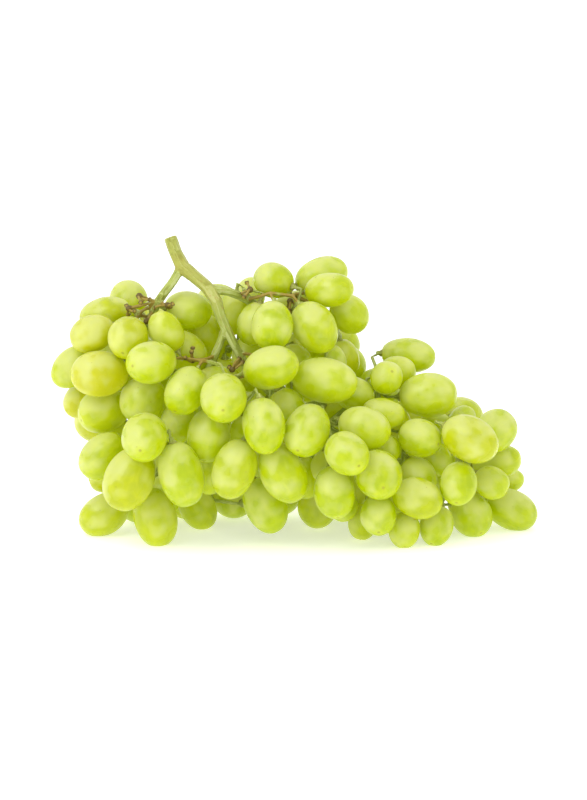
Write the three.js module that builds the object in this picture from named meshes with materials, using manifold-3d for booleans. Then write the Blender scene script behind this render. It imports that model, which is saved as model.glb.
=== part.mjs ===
// A bunch of white table grapes, lying the way it rests on a table.
// Millimetres. +X runs along the bunch to its tail, +Y to its far side, +Z up.
// The origin is the middle of the bounding box, at the level of the table.

import * as THREE from 'three';
import { mergeVertices } from 'three/addons/utils/BufferGeometryUtils.js';
import Module from 'manifold-3d';

const wasm = await Module();
wasm.setup();

// ---- Driving dimensions ----------------------------------------------------

const BERRY_GAP = 0.35;
const STEM_GAP = 0.45;
const PEDICEL_RADIUS = 0.95;
const PEDICEL_TIP_RADIUS = 0.85;
const PEDICEL_NECK = 4.5;
const JOINT_GAP = 0.3;
const HUB_RADIUS = 1.5;
const BERRY_INSET = 1.5;
const TABLE_DIP = 0.55;
const TABLE_CLEARANCE = 0.05;
const CUT_BLOCK = 40;

const FIRST_ROUNDS = 250;
const LATER_ROUNDS = 60;
const MOST_REROUTES = 8;

const STEM_SIDES = 7;
const STEM_STEP = 7;
const PEDICEL_SIDES = 3;
const PEDICEL_STEP = 6;
const OUTLINE_RADIUS = 0.2;
const WELD = 1e-4;
const SLIVER = 0.02;
const BERRY_SEGMENTS = 8;
const BERRY_RINGS = [34, 68, 106, 144];
const TUCKED_RINGS = [45, 90, 135];
const BERRY_COLOUR = 0xc5d82a;
const TUCKED_COLOUR = 0xa8bc10;
const STEM_COLOUR = 0xb9c655;

// ---- Berries, branch by branch ---------------------------------------------
// Each row is x, y, z of the centre, length, width, lean and toward. The long
// axis runs from the stem end to the blossom end: lean is its angle in the
// upright X-Z plane, from +X up to +Z, and toward turns it to the near side.
// Whole berries are the outer ones; tucked ones sit between and behind them.

const BRANCHES = {
  left_shoulder: {
    whole: [
      [-81, 6, 94, 23, 16.5, 195, -5],
      [-69, -18, 88, 20, 17, 250, 55],
      [-60, -30, 80, 24, 18, 180, 50],
      [-82, -20, 73, 25, 19.5, 180, 20],
      [-95, -4, 73, 21, 15.5, 225, 0],
      [-81, -10, 55, 23, 19, 200, 30],
      [-65, -14, 61, 22, 19, 250, 35],
    ],
    tucked: [
      [-70, 14, 97, 19, 16.5, 100, -40],
      [-84, -6, 87, 20, 16, 200, 15],
      [-93, 4, 57, 16, 13, 240, -10],
    ],
  },
  crown: {
    whole: [
      [-46, 2, 96, 21, 16.5, -10, -20],
    ],
    tucked: [
      [-55, -8, 89, 19, 14, 120, 0],
      [-47, -2, 83, 23, 16.5, -40, 10],
      [-37, 12, 85, 19, 16, -80, 0],
      [-24, 10, 93, 19, 15, -100, 0],
      [-18, 2, 95, 19, 15, -105, 10],
      [-21, 16, 100, 16, 13, 90, -30],
      [-19, 6, 76, 18, 15.5, -90, -10],
    ],
  },
  right_shoulder: {
    whole: [
      [-10, -14, 93, 22, 17.5, -95, 35],
      [9, -14, 92, 24, 18.5, -55, 25],
      [12, 12, 110, 24, 16.5, 20, -15],
      [14, -2, 106, 22, 15.5, 10, 25],
      [23, 10, 93, 19, 16, -50, -20],
    ],
    tucked: [
      [-8, 4, 107, 18, 15.5, 165, -20],
      [23, 28, 76, 16, 12, -50, -30],
      [24, 24, 70, 19, 16.5, -40, -30],
      [19, 12, 74, 17, 13, -75, 0],
      [12, 6, 74, 17, 14, -90, 0],
      [2, -4, 75, 17, 15.5, -60, 20],
    ],
  },
  breast: {
    whole: [
      [-29, -46, 67, 25, 19.5, -90, 75],
      [-10, -38, 77, 24, 18.5, 15, 15],
      [-45, -32, 68, 23, 17, 240, 40],
      [-13, -44, 55, 24, 18, -80, 25],
      [-36, -32, 48, 23, 18, 260, 20],
      [6, -42, 52, 25, 19, -120, 50],
      [11, -28, 66, 28, 19.5, -10, 5],
      [-31, -21, 70, 21, 15, 190, 30],
    ],
    tucked: [
      [-49, -18, 51, 18, 15.5, -100, 30],
      [-2, -22, 58, 19, 15.5, -60, 10],
      [-36, -12, 51, 20, 16, -90, 0],
      [-20, -8, 44, 19, 16, -80, 0],
      [-30, 14, 65, 19, 16.5, -90, -10],
    ],
  },
  lower_left: {
    whole: [
      [-62, -46, 50, 26, 19, -110, 75],
      [-69, -38, 31, 28, 21, 245, 15],
      [-47, -42, 34, 28, 19, -75, 5],
      [-81, -20, 37, 23, 18, 220, 10],
      [-82, -4, 11, 23, 18, 210, 15],
      [-59, -25, 14, 26, 18.5, -75, 15],
      [-24, -42, 36, 26, 18.5, 250, 5],
      [-5, -42, 34, 26, 19, -60, 15],
      [-12, -26, 17, 25, 18, -65, 5],
    ],
    tucked: [
      [-80, 2, 24, 19, 15, 200, 0],
      [-42, 8, 11, 21, 15.5, -60, 0],
      [-36, -16, 28, 17, 13.5, -90, 0],
      [5, -16, 27, 19, 14, -80, 0],
      [10, 8, 10, 18, 16.5, -80, 0],
      [-77, 4, 40, 18, 15.5, 230, -10],
      [-56, -6, 17, 18.5, 16, -110, 0],
    ],
  },
  middle: {
    whole: [
      [22, -48, 44, 23, 17.5, -35, 60],
      [17, -42, 26, 23, 17, -80, 30],
      [36, -38, 33, 27, 20, -60, 75],
      [36, -36, 15, 18.5, 15.5, -90, 50],
      [30, -30, 51, 23, 17.5, -15, 20],
      [50, 14, 74, 24, 15.5, -5, 0],
      [57, -4, 61, 25, 19, 5, 10],
    ],
    tucked: [
      [13, -22, 33, 14, 12, -90, 30],
      [21, -18, 17, 17, 14.5, -60, 20],
      [29, -18, 10, 16, 13, -100, 10],
      [38, -12, 55, 19, 13, -10, 0],
      [44, -10, 50, 17, 13, -55, 10],
      [41, -20, 41, 13, 10, -60, 40],
      [27, -10, 64, 19, 14.5, -20, 0],
      [38, -6, 68, 16, 14, 60, 55],
      [25, -7, 21, 18, 15.5, -80, 10],
      [45, 4, 69, 17, 14.5, 10, 0],
    ],
  },
  tail: {
    whole: [
      [53, -22, 45, 20, 16.5, -10, 40],
      [52, -36, 23, 22, 17, -15, 20],
      [69, -34, 28, 20, 15.5, -100, 45],
      [74, -26, 45, 25.5, 19.5, -25, 22],
      [88, 0, 31, 22, 15.5, 10, 10],
      [95, 10, 10, 24, 17.5, -25, 5],
      [77, -8, 10, 20, 18, -60, 40],
      [61, -25, 10, 18, 14.5, -110, 35],
      [47, -30, 8, 16, 13.5, -90, 35],
    ],
    tucked: [
      [86, -2, 45, 20, 18, 45, -20],
      [62, 4, 46, 15, 11.5, 10, -10],
      [53, -20, 28, 18, 16, -60, 30],
      [73, 0, 48, 15, 12, 60, -20],
      [94, 12, 19, 14, 10.5, 0, -20],
      [63, -4, 35, 16, 14, -60, 0],
      [49, 16, 32, 19, 16, -30, -10],
      [61, 6, 18, 18, 16, -90, 0],
      [85, -12, 24, 16, 14, -30, 20],
      [46, -8, 13, 17, 15, -90, 0],
    ],
  },
};
const FRONT_MOBILITY = new THREE.Vector3(0.2, 1, 0.2);

// Courses of tucked berries on the far side, from the table upwards, and then
// in the heart of the bunch: height and greatest depth of the centres, and the
// run along X with its count.
const FAR_COURSES = [
  { z: 10, depth: 27, from: -70, to: 80, count: 8 },
  { z: 27, depth: 36, from: -78, to: 84, count: 8 },
  { z: 44, depth: 38, from: -84, to: 74, count: 8 },
  { z: 61, depth: 35, from: -82, to: 30, count: 6 },
  { z: 77, depth: 27, from: -76, to: 6, count: 5 },
  { z: 88, depth: 19, from: -56, to: 0, count: 3 },
  { z: 28, depth: 12, from: -58, to: 36, count: 3 },
  { z: 50, depth: 14, from: -60, to: 20, count: 3 },
];
const FAR_END_DEPTH = 0.62;
const FAR_LENGTH = 23;
const FAR_WIDTH = 18.5;
const FAR_MOBILITY = new THREE.Vector3(0.6, 1, 0.6);
const FAR_JITTER = 6;

// ---- Stem routes -----------------------------------------------------------
// Each row is x, y, z and the radius there.

const ROUTES = {
  rachis: [
    [-52.5, -5, 129, 2.6],
    [-50, -6, 122, 2.5],
    [-47.5, -8, 117, 3.1],
    [-40.5, -10, 111.5, 2.5],
    [-34.5, -12, 106, 2.8],
    [-31, -14, 96.5, 2.1],
    [-27, -15, 88, 1.9],
    [-22, -14, 78, 1.8],
    [-15, -9, 68, 1.9],
    [-2, -1, 55, 1.8],
    [14, 0, 46, 1.6],
    [31, 0, 37, 1.5],
    [48, 0, 30, 1.4],
    [65, 0, 26, 1.3],
    [82, 3, 21, 1.1],
  ],
  left_strand: [
    [-29, -14.5, 92, 1.5],
    [-32, -14, 83, 1.5],
    [-35, -12, 76, 1.7],
    [-38, -6, 66, 1.8],
    [-45, -2, 50, 1.6],
    [-54, 0, 33, 1.4],
    [-63, 3, 21, 1.1],
  ],
  left_lateral: [
    [-47.5, -8, 117, 1.9],
    [-52.5, -10, 109, 1.7],
    [-58, -10, 102, 1.8],
    [-61, -5, 94, 1.6],
    [-66, 1, 86, 1.5],
    [-72, 2, 77, 1.4],
    [-80, 2, 65, 1.2],
  ],
  right_lateral: [
    [-34, -11, 107.5, 1.9],
    [-26.5, -8, 106, 1.7],
    [-21.5, -4, 103, 1.6],
    [-13.5, 4, 97.5, 1.5],
    [-3.5, 6, 94, 1.4],
    [7, 8, 89, 1.3],
    [14, 8.5, 82.5, 1.1],
  ],
  far_left_lateral: [
    [-38, -6, 66, 1.6],
    [-46, 6, 68, 1.4],
    [-58, 16, 68, 1.1],
  ],
  far_lateral: [
    [-2, -1, 55, 1.6],
    [-4, 10, 60, 1.4],
    [-10, 18, 66, 1.1],
  ],
  tail_lateral: [
    [14, 0, 46, 1.5],
    [26, 3, 56, 1.3],
    [35, 7, 63, 1.2],
    [36, 11, 70, 1],
  ],
};

// Dried pedicels that lost their berry: root and tip.
const DRIED_PEDICELS = [
  [[-58, -10, 102], [-70, -12, 99.5]],
  [[-58, -10, 102], [-65.5, -13, 105]],
  [[-58, -10, 102], [-53.5, -13, 101]],
  [[-59, -9, 99], [-62.5, -12, 94]],
  [[-58, -10, 102], [-66.5, -8, 96.5]],
  [[-21.5, -4, 103], [-18.5, -8, 107]],
  [[-3.5, 6, 94], [-1.5, 0, 101]],
  [[-34.5, -12, 78], [-43, -17, 78]],
  [[-22, -14, 78], [-26, -20, 74.5]],
  [[-23.5, -14.5, 81], [-15.5, -17, 80]],
];
const DRIED_RADIUS = 0.9;
const DRIED_KNOB = 1.4;

// Branchlets that carry the tucked berries: where each one's hub starts.
const SPRIG_HUBS = {
  left_shoulder: [-76, 8, 84],
  left_flank: [-76, 14, 54],
  left_foot: [-70, 14, 22],
  crown: [-42, 4, 84],
  crown_back: [-20, 12, 88],
  heart: [-40, 10, 56],
  lower_middle: [-38, 6, 24],
  right_shoulder: [12, 16, 78],
  right_flank: [-4, 12, 56],
  middle_foot: [8, 4, 20],
  waist: [34, 4, 52],
  tail_root: [46, 6, 22],
  tail_tip: [76, 12, 32],
};
const SPRIG_CAPACITY = 10;

// ---- Berries as spheroids --------------------------------------------------

let seed = 7;

function chance() {
  seed = (seed * 16807) % 2147483647;
  return seed / 2147483647 - 0.5;
}

function direction(lean, toward) {
  const a = THREE.MathUtils.degToRad(lean);
  const b = THREE.MathUtils.degToRad(toward);
  return new THREE.Vector3(Math.cos(a) * Math.cos(b), -Math.sin(b), Math.sin(a) * Math.cos(b));
}

function makeBerry(row, mobility, name) {
  const [x, y, z, length, width, lean, toward] = row;
  return {
    name,
    centre: new THREE.Vector3(x, y, z),
    home: new THREE.Vector3(x, y, z),
    axis: direction(lean, toward),
    halfLength: length / 2,
    halfWidth: width / 2,
    mobility,
  };
}

// Distance from the centre to the tangent plane whose normal is n.
function reach(berry, n) {
  const along = berry.axis.dot(n);
  const w2 = berry.halfWidth ** 2;
  return Math.sqrt(w2 + (berry.halfLength ** 2 - w2) * along * along);
}

// The point of the spheroid's surface that faces along n.
function facingPoint(berry, n, target) {
  const w2 = berry.halfWidth ** 2;
  const extra = (berry.halfLength ** 2 - w2) * berry.axis.dot(n);
  target.copy(n).multiplyScalar(w2).addScaledVector(berry.axis, extra);
  return target.divideScalar(reach(berry, n));
}

const between = new THREE.Vector3();
const normal = new THREE.Vector3();
const nearA = new THREE.Vector3();
const nearB = new THREE.Vector3();

// Gap between two spheroids along the direction that parts them best, which is
// left in `normal` and points from a to b. The gap is negative on an overlap.
function berryGap(a, b) {
  between.subVectors(b.centre, a.centre);
  const distance = between.length();
  normal.copy(between).divideScalar(distance);
  for (let step = 0; step < 8; step += 1) {
    facingPoint(a, normal, nearA);
    facingPoint(b, normal, nearB);
    const slope = between.clone().sub(nearA).sub(nearB);
    slope.addScaledVector(normal, -slope.dot(normal));
    normal.addScaledVector(slope, 0.7 / distance).normalize();
  }
  return between.dot(normal) - reach(a, normal) - reach(b, normal);
}

// Distance from a point to the spheroid's surface, to first order, with the
// outward direction left in `normal`.
function pointGap(berry, point) {
  between.subVectors(point, berry.centre);
  const w2 = berry.halfWidth ** 2;
  const along = between.dot(berry.axis);
  const extra = along * (1 / berry.halfLength ** 2 - 1 / w2);
  normal.copy(between).divideScalar(w2).addScaledVector(berry.axis, extra);
  const level = Math.sqrt(Math.max(between.dot(normal), 1e-6));
  const steepness = normal.length() / level;
  normal.normalize();
  return (level - 1) / steepness;
}

function stemEnd(berry, beyond) {
  return berry.centre.clone().addScaledVector(berry.axis, -(berry.halfLength + beyond));
}

// ---- Laying the bunch out --------------------------------------------------

function push(berry, along, amount) {
  berry.centre.x += along.x * berry.mobility.x * amount;
  berry.centre.y += along.y * berry.mobility.y * amount;
  berry.centre.z += along.z * berry.mobility.z * amount;
}

function ease(berry, along) {
  const { x, y, z } = berry.mobility;
  return x * along.x * along.x + y * along.y * along.y + z * along.z * along.z;
}

const DOWN = new THREE.Vector3(0, 0, -1);
const HOME_PULL = 0.03;
const SEAT_HEIGHT = 2.6;

// Moves the berries apart until they clear each other, the stem and the table.
function settle(berries, beads, rounds) {
  for (let round = 0; round < rounds; round += 1) {
    const pull = HOME_PULL * (1 - round / rounds);
    for (const berry of berries) {
      berry.centre.lerp(berry.home, pull);
    }
    for (let i = 0; i < berries.length; i += 1) {
      for (let j = i + 1; j < berries.length; j += 1) {
        const a = berries[i];
        const b = berries[j];
        if (a.centre.distanceTo(b.centre) < a.halfLength + b.halfLength + BERRY_GAP) {
          const lack = BERRY_GAP - berryGap(a, b);
          if (lack > 0) {
            const share = lack / (ease(a, normal) + ease(b, normal));
            push(a, normal, -share);
            push(b, normal, share);
          }
        }
      }
    }
    for (const bead of beads()) {
      for (const berry of berries) {
        const near = berry.centre.distanceTo(bead.point) < berry.halfLength + bead.radius + STEM_GAP;
        if (near && berry !== bead.owner?.berry) {
          const lack = STEM_GAP + bead.radius - pointGap(berry, bead.point);
          if (lack > 0) {
            push(berry, normal, -Math.min(lack / ease(berry, normal), 1));
          }
        }
      }
    }
    for (const berry of berries) {
      const lowest = berry.centre.z - reach(berry, DOWN);
      if (lowest < 0 || berry.home.z - reach(berry, DOWN) < SEAT_HEIGHT) {
        berry.centre.z -= lowest;
      }
    }
  }
}

function farBerries() {
  const made = [];
  for (const [level, course] of FAR_COURSES.entries()) {
    const middle = (course.from + course.to) / 2;
    const half = (course.to - course.from) / 2;
    for (let i = 0; i < course.count; i += 1) {
      const x = THREE.MathUtils.lerp(course.from, course.to, i / (course.count - 1));
      const round = 1 - (1 - FAR_END_DEPTH) * ((x - middle) / half) ** 2;
      const lean = x < 0 ? 180 + 50 * chance() : 50 * chance();
      const row = [
        x + FAR_JITTER * chance(),
        course.depth * round + FAR_JITTER * chance(),
        course.z + FAR_JITTER * chance(),
        FAR_LENGTH * (1 + 0.16 * chance()),
        FAR_WIDTH * (1 + 0.16 * chance()),
        level === 0 ? lean * 0.2 + (x < 0 ? 144 : 0) : lean - 20,
        -35 - 30 * chance() - 20 * round,
      ];
      made.push(makeBerry(row, FAR_MOBILITY, `far_${level}_${i}`));
    }
  }
  return made;
}

// ---- Curves and tubes ------------------------------------------------------

function routeCurve(rows) {
  const points = rows.map(([x, y, z]) => new THREE.Vector3(x, y, z));
  return new THREE.CatmullRomCurve3(points, false, 'centripetal');
}

function radiusAt(radii, t) {
  const place = t * (radii.length - 1);
  const before = Math.min(Math.floor(place), radii.length - 2);
  return THREE.MathUtils.lerp(radii[before], radii[before + 1], place - before);
}

// Beads along a curve, each with its radius and its share of the length.
function beadsAlong(curve, radii, owner) {
  const count = Math.max(2, Math.ceil(curve.getLength() / BEAD_SPACING));
  const made = [];
  for (let i = 0; i <= count; i += 1) {
    const share = i / count;
    const radius = radiusAt(radii, curve.getUtoTmapping(share));
    made.push({ point: curve.getPointAt(share), radius, owner, share });
  }
  return made;
}

function tubeSteps(curve, spacing) {
  return Math.max(2, Math.round(curve.getLength() / spacing));
}

// The point of a pedicel's own ring that is nearest to a share of its length.
function ringPoint(curve, share) {
  const steps = tubeSteps(curve, PEDICEL_STEP);
  return curve.getPointAt(Math.round(share * steps) / steps);
}

// ---- Growing the stem and its pedicels -------------------------------------

const UP = new THREE.Vector3(0, 0, 1);
const BEAD_SPACING = 2;
const BENDS = [0, 5, 10, 16];
const BEND_TURNS = 6;
const JOINTS_TRIED = 24;
const SHORTEST_PEDICEL = 0.3;
const TIGHT_COST = 60;
const TIGHT_LIMIT = 0.2;
const PEDICEL_RADII = [PEDICEL_TIP_RADIUS, PEDICEL_RADIUS];
const HUB_SEARCH = 10;
const LINK_END = 8;

// A pedicel leaves its berry straight, then bends over to its joint, which is
// a bead of the stem, of a hub or of another pedicel. The link that brings a
// branchlet to the stem has no berry: it starts at the hub and stops short.
function pedicelCurve({ berry, inset, hub, bend, joint }) {
  const points = berry ? [stemEnd(berry, inset), stemEnd(berry, PEDICEL_NECK)] : [hub];
  const end = joint.owner ? ringPoint(joint.owner.curve, joint.share) : joint.point.clone();
  if (!berry) {
    const back = bend.clone().sub(end).normalize();
    end.addScaledVector(back, joint.radius + PEDICEL_RADIUS + JOINT_GAP);
  }
  return new THREE.CatmullRomCurve3([...points, bend, end], false, 'centripetal');
}

function grow(pedicel) {
  pedicel.curve = pedicelCurve(pedicel);
  pedicel.beads = beadsAlong(pedicel.curve, PEDICEL_RADII, pedicel);
}

// How far some beads come too near to the table, to berries and to other
// branches. The sum stops early once it is past the most that is of use.
function tightness(beads, owner, berries, others, most = Infinity) {
  let total = 0;
  for (const [i, { point, radius }] of beads.entries()) {
    if (total > most) {
      return total;
    }
    total += Math.max(STEM_GAP + radius - point.z, 0);
    for (const berry of berries) {
      const room = berry.halfLength + radius + STEM_GAP;
      const near = berry.centre.distanceToSquared(point) < room * room;
      if (near && !(berry === owner && i < 3)) {
        total += Math.max(STEM_GAP + radius - pointGap(berry, point), 0);
      }
    }
    for (const other of others) {
      const room = other.radius + radius + STEM_GAP;
      if (other.point.distanceToSquared(point) < room * room) {
        total += room - other.point.distanceTo(point);
      }
    }
  }
  return total;
}

function driedLine([root, tip]) {
  return new THREE.LineCurve3(new THREE.Vector3(...root), new THREE.Vector3(...tip));
}

// Finds a pedicel's clearest way to one of the joints offered, straight or
// bent to a side.
function route(pedicel, joints, berries, others) {
  const neck = pedicel.berry ? stemEnd(pedicel.berry, PEDICEL_NECK) : pedicel.hub;
  const spans = joints.map((joint) => ({ joint, span: neck.distanceTo(joint.point) }));
  const offered = spans.filter(({ span }) => span > SHORTEST_PEDICEL).sort((a, b) => a.span - b.span);
  let best = { cost: Infinity };
  for (const { joint, span } of offered.slice(0, JOINTS_TRIED)) {
    const clear = (other) => pedicel.berry || other.point.distanceTo(joint.point) > LINK_END;
    const away = span < best.cost ? others.filter(clear) : [];
    const along = joint.point.clone().sub(neck).normalize();
    const side = along.clone().cross(Math.abs(along.z) > 0.8 ? DOWN.clone().setX(1) : UP).normalize();
    for (const offset of BENDS) {
      for (let turn = 0; turn < (offset ? BEND_TURNS : 1); turn += 1) {
        const swing = side.clone().applyAxisAngle(along, (turn * 2 * Math.PI) / BEND_TURNS);
        const bend = neck.clone().lerp(joint.point, 0.5).addScaledVector(swing, offset);
        const length = span + offset;
        const most = (best.cost - length) / TIGHT_COST;
        if (most > 0) {
          const tried = { ...pedicel, bend, joint };
          grow(tried);
          const lack = tightness(tried.beads, pedicel.berry, berries, away, most);
          const cost = length + TIGHT_COST * lack;
          if (cost < best.cost) {
            best = { bend, joint, cost, lack };
          }
        }
      }
    }
  }
  Object.assign(pedicel, best);
  grow(pedicel);
}

function clearestPoint(start, berries, others) {
  let best = { room: -Infinity };
  for (let x = -HUB_SEARCH; x <= HUB_SEARCH; x += 2) {
    for (let y = -HUB_SEARCH; y <= HUB_SEARCH; y += 2) {
      for (let z = -HUB_SEARCH; z <= HUB_SEARCH; z += 2) {
        const point = start.clone().add(new THREE.Vector3(x, y, z));
        const toBerries = berries.map((berry) => pointGap(berry, point));
        const toOthers = others.map((other) => other.point.distanceTo(point) - other.radius);
        const room = Math.min(...toBerries, ...toOthers, 3) - 0.01 * point.distanceTo(start);
        if (room > best.room) {
          best = { room, point };
        }
      }
    }
  }
  return best.point;
}

// Shares the tucked berries out among the branchlets, nearest first.
function shareOut(tucked, hubs) {
  const choices = [];
  for (const berry of tucked) {
    for (const [name, hub] of Object.entries(hubs)) {
      choices.push({ berry, name, distance: hub.distanceTo(stemEnd(berry, PEDICEL_NECK)) });
    }
  }
  choices.sort((a, b) => a.distance - b.distance);
  const members = Object.fromEntries(Object.keys(hubs).map((name) => [name, []]));
  const placed = new Set();
  for (const { berry, name } of choices) {
    if (!placed.has(berry) && members[name].length < SPRIG_CAPACITY) {
      members[name].push(berry);
      placed.add(berry);
    }
  }
  return members;
}

function hangsFrom(pedicel, ancestor) {
  const parent = pedicel.joint.owner;
  return pedicel === ancestor || Boolean(parent && hangsFrom(parent, ancestor));
}

// Joins every berry by a pedicel: whole berries to the stem, tucked ones to
// the hub of their own branchlet, or to a pedicel that is there already.
class Growth {
  constructor(berries, trunk, dried, hubs, members) {
    this.berries = berries;
    this.dried = dried;
    this.roots = { stem: trunk };
    this.pedicels = [];
    this.waiting = [];
    for (const berry of berries.filter(({ name }) => name.startsWith('berry_'))) {
      this.waiting.push({ node: 'stem', berry, inset: JOINT_GAP });
    }
    for (const [node, hub] of Object.entries(hubs)) {
      this.roots[node] = [{ point: hub, radius: HUB_RADIUS, owner: null }];
      members[node].forEach((berry) => this.waiting.push({ node, berry, inset: -BERRY_INSET }));
      this.waiting.push({ node, berry: null, hub });
    }
    for (const pedicel of this.waiting) {
      const start = pedicel.berry ? stemEnd(pedicel.berry, PEDICEL_NECK) : pedicel.hub;
      const roots = this.roots[pedicel.berry ? pedicel.node : 'stem'];
      pedicel.distance = Math.min(...roots.map(({ point }) => point.distanceTo(start)));
    }
    this.waiting.sort((a, b) => a.distance - b.distance);
    for (const pedicel of this.waiting) {
      this.lead(pedicel);
      this.pedicels.push(pedicel);
    }
  }

  // Beads of every other node, in its hub, its pedicels and the trunk.
  others(node) {
    const roots = Object.entries(this.roots).flatMap(([name, beads]) => (name === node ? [] : beads));
    const pedicels = this.pedicels.filter((each) => each.node !== node).flatMap(({ beads }) => beads);
    return [...roots, ...pedicels, ...(node === 'stem' ? [] : this.dried)];
  }

  lead(pedicel) {
    const { node, berry } = pedicel;
    const joints = [...this.roots[berry ? node : 'stem']];
    for (const other of this.pedicels) {
      if (berry && other.berry && other.node === node && !hangsFrom(other, pedicel)) {
        joints.push(...other.beads.slice(Math.floor(other.beads.length / 3)));
      }
    }
    route(pedicel, joints, this.berries, this.others(node));
  }

  // Grows every pedicel anew, after the one that it hangs from.
  beads() {
    const done = new Set();
    const follow = (pedicel) => {
      if (!done.has(pedicel)) {
        done.add(pedicel);
        if (pedicel.joint.owner) {
          follow(pedicel.joint.owner);
        }
        grow(pedicel);
      }
    };
    this.pedicels.forEach(follow);
    const roots = Object.values(this.roots).flat();
    return [...roots, ...this.dried, ...this.pedicels.flatMap(({ beads }) => beads)];
  }

  tight({ node, berry, beads, joint }) {
    const clear = (other) => berry || other.point.distanceTo(joint.point) > LINK_END;
    return tightness(beads, berry, this.berries, this.others(node).filter(clear)) > TIGHT_LIMIT;
  }
}

// ---- Solids ----------------------------------------------------------------

function solid(geometry) {
  geometry.deleteAttribute('normal');
  geometry.deleteAttribute('uv');
  const merged = mergeVertices(geometry, WELD);
  const corners = merged.index.array;
  const kept = [];
  for (let i = 0; i < corners.length; i += 3) {
    const [a, b, c] = corners.slice(i, i + 3);
    if (a !== b && b !== c && c !== a) {
      kept.push(a, b, c);
    }
  }
  const mesh = new wasm.Mesh({
    numProp: 3,
    vertProperties: merged.attributes.position.array,
    triVerts: new Uint32Array(kept),
  });
  return new wasm.Manifold(mesh);
}

// Joins solids, and drops the hair-thin slivers where they meet.
function joined(solids) {
  return solids.reduce((whole, next) => whole.add(next)).simplify(SLIVER);
}

function part(name, body, origin, colour, roughness) {
  const { vertProperties, triVerts } = body.getMesh();
  const geometry = new THREE.BufferGeometry();
  geometry.setAttribute('position', new THREE.BufferAttribute(vertProperties, 3));
  geometry.setIndex(new THREE.BufferAttribute(triVerts, 1));
  geometry.translate(-origin.x, -origin.y, -origin.z);
  geometry.computeVertexNormals();
  const material = new THREE.MeshStandardMaterial({ color: colour, roughness, metalness: 0 });
  const mesh = new THREE.Mesh(geometry, material);
  mesh.name = name;
  mesh.position.copy(origin);
  return mesh;
}

// A lathed spheroid with its poles on the long axis and one meridian turned
// down, so that a berry on the table touches it along an edge of its facets.
function berryGeometry(berry, rings) {
  const angles = [180, ...[...rings].reverse(), 0].map(THREE.MathUtils.degToRad);
  const profile = angles.map(
    (angle) => new THREE.Vector2(berry.halfWidth * Math.sin(angle), berry.halfLength * Math.cos(angle)),
  );
  profile[0].x = 0;
  profile[profile.length - 1].x = 0;
  const geometry = new THREE.LatheGeometry(profile, BERRY_SEGMENTS);
  const down = DOWN.clone().addScaledVector(berry.axis, -DOWN.dot(berry.axis)).normalize();
  const side = berry.axis.clone().cross(down);
  geometry.applyMatrix4(new THREE.Matrix4().makeBasis(side, berry.axis, down));
  return geometry;
}

// Rests a berry on the table by its lowest facets; whole berries press a flat
// patch against it, and tucked ones stay just clear of it.
function berrySolid(berry, rings, height) {
  const geometry = berryGeometry(berry, rings);
  geometry.computeBoundingBox();
  const lowest = berry.centre.z + geometry.boundingBox.min.z;
  const seated = berry.home.z - reach(berry, DOWN) < SEAT_HEIGHT;
  if (seated || lowest < height) {
    berry.centre.z += height - lowest;
  }
  geometry.translate(berry.centre.x, berry.centre.y, berry.centre.z);
  return solid(geometry);
}

function block(centre) {
  const geometry = new THREE.BoxGeometry(CUT_BLOCK, CUT_BLOCK, CUT_BLOCK);
  geometry.translate(centre.x, centre.y, -CUT_BLOCK / 2);
  return solid(geometry);
}

function ball(centre, radius) {
  const geometry = new THREE.SphereGeometry(radius, 6, 4);
  geometry.translate(centre.x, centre.y, centre.z);
  return solid(geometry);
}

// An extruded tube whose sides are moved out to the radius wanted there.
function tube(curve, radii, sides, spacing) {
  const steps = tubeSteps(curve, spacing);
  const outline = new THREE.Shape();
  for (let i = 0; i < sides; i += 1) {
    const angle = (i * 2 * Math.PI) / sides;
    const x = OUTLINE_RADIUS * Math.cos(angle);
    const y = OUTLINE_RADIUS * Math.sin(angle);
    outline[i ? 'lineTo' : 'moveTo'](x, y);
  }
  outline.closePath();
  const geometry = new THREE.ExtrudeGeometry(outline, { steps, extrudePath: curve, bevelEnabled: false });
  const centres = curve.getSpacedPoints(steps);
  const corners = geometry.attributes.position;
  const corner = new THREE.Vector3();
  for (let i = 0; i < corners.count; i += 1) {
    corner.fromBufferAttribute(corners, i);
    const distances = centres.map((centre) => centre.distanceToSquared(corner));
    const step = distances.indexOf(Math.min(...distances));
    const radius = radiusAt(radii, curve.getUtoTmapping(step / steps));
    corner.sub(centres[step]).setLength(radius).add(centres[step]);
    corners.setXYZ(i, corner.x, corner.y, corner.z);
  }
  return solid(geometry);
}

// ---- The bunch -------------------------------------------------------------

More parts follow.
